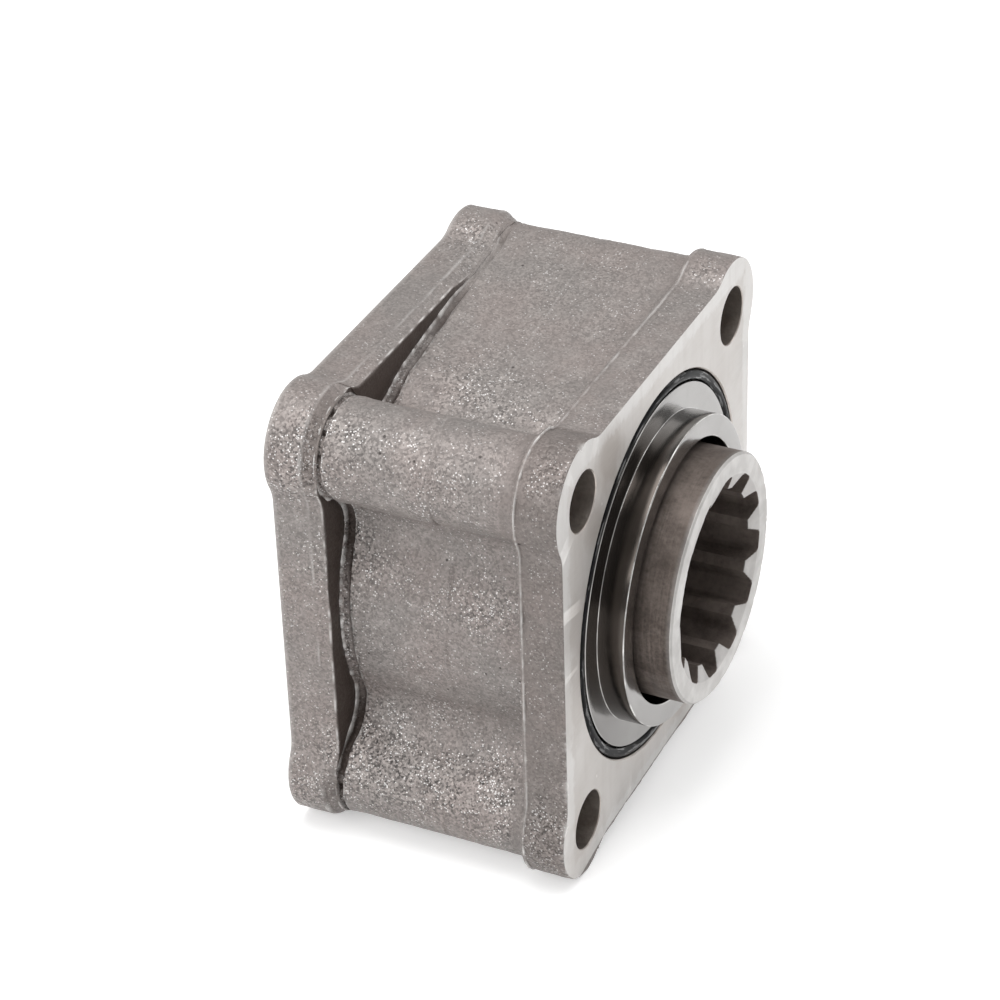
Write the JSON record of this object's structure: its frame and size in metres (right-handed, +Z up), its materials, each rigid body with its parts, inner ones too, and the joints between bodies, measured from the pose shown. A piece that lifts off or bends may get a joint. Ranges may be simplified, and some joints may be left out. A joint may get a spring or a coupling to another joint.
{
  "type": "power take-off unit",
  "caption": "Cast square flange housing around a splined hub on ball bearings, with a turned spigot ring on its machined face and bolt bosses at the corners.",
  "frame": {"origin": "centre of the machined front face, on the shaft axis", "axes": "+X along the shaft, out of the front face towards the hub's open end; +Z up; +Y completes the right-handed frame, away from the camera in the picture"},
  "size_m": [0.0788, 0.106, 0.106],
  "materials": {
    "cast_iron": "raw sand casting with machined end faces",
    "turned_steel": "finely turned",
    "hub_steel": "turned, lightly stained",
    "rubber": "smooth",
    "seal_steel": "matt",
    "bearing_steel": "ground",
    "ball_steel": "polished",
    "cage_steel": "pressed sheet",
    "spring_steel": "blackened"
  },
  "bodies": {
    "housing": {"housing": "cast_iron", "pilot_ring": "turned_steel", "face_o_ring": "rubber", "seal_case": "seal_steel", "seal_lip": "rubber", "garter_spring": "bearing_steel", "front_outer_ring": "bearing_steel", "rear_outer_ring": "bearing_steel", "outer_spacer": "seal_steel", "bore_retaining_ring": "spring_steel"},
    "shaft": {"splined_hub": "hub_steel", "front_inner_ring": "bearing_steel", "rear_inner_ring": "bearing_steel", "inner_spacer": "seal_steel", "hub_retaining_ring": "spring_steel"},
    "front_cage": {"front_balls": "ball_steel", "front_cage_fore": "cage_steel", "front_cage_aft": "cage_steel", "front_cage_rivets": "cage_steel"},
    "rear_cage": {"rear_balls": "ball_steel", "rear_cage_fore": "cage_steel", "rear_cage_aft": "cage_steel", "rear_cage_rivets": "cage_steel"}
  },
  "joints": [
    {"name": "hub_spin", "type": "hinge", "parent": "housing", "child": "shaft", "pos_m": [0, 0, 0], "axis": [1, 0, 0], "continuous": true},
    {"name": "front_cage_spin", "type": "hinge", "parent": "housing", "child": "front_cage", "pos_m": [0, 0, 0], "axis": [1, 0, 0], "continuous": true},
    {"name": "rear_cage_spin", "type": "hinge", "parent": "housing", "child": "rear_cage", "pos_m": [0, 0, 0], "axis": [1, 0, 0], "continuous": true}
  ],
  "couplings": [
    {"joint": "front_cage_spin", "follows": "hub_spin", "ratio": 0.4328},
    {"joint": "rear_cage_spin", "follows": "hub_spin", "ratio": 0.4328}
  ]
}
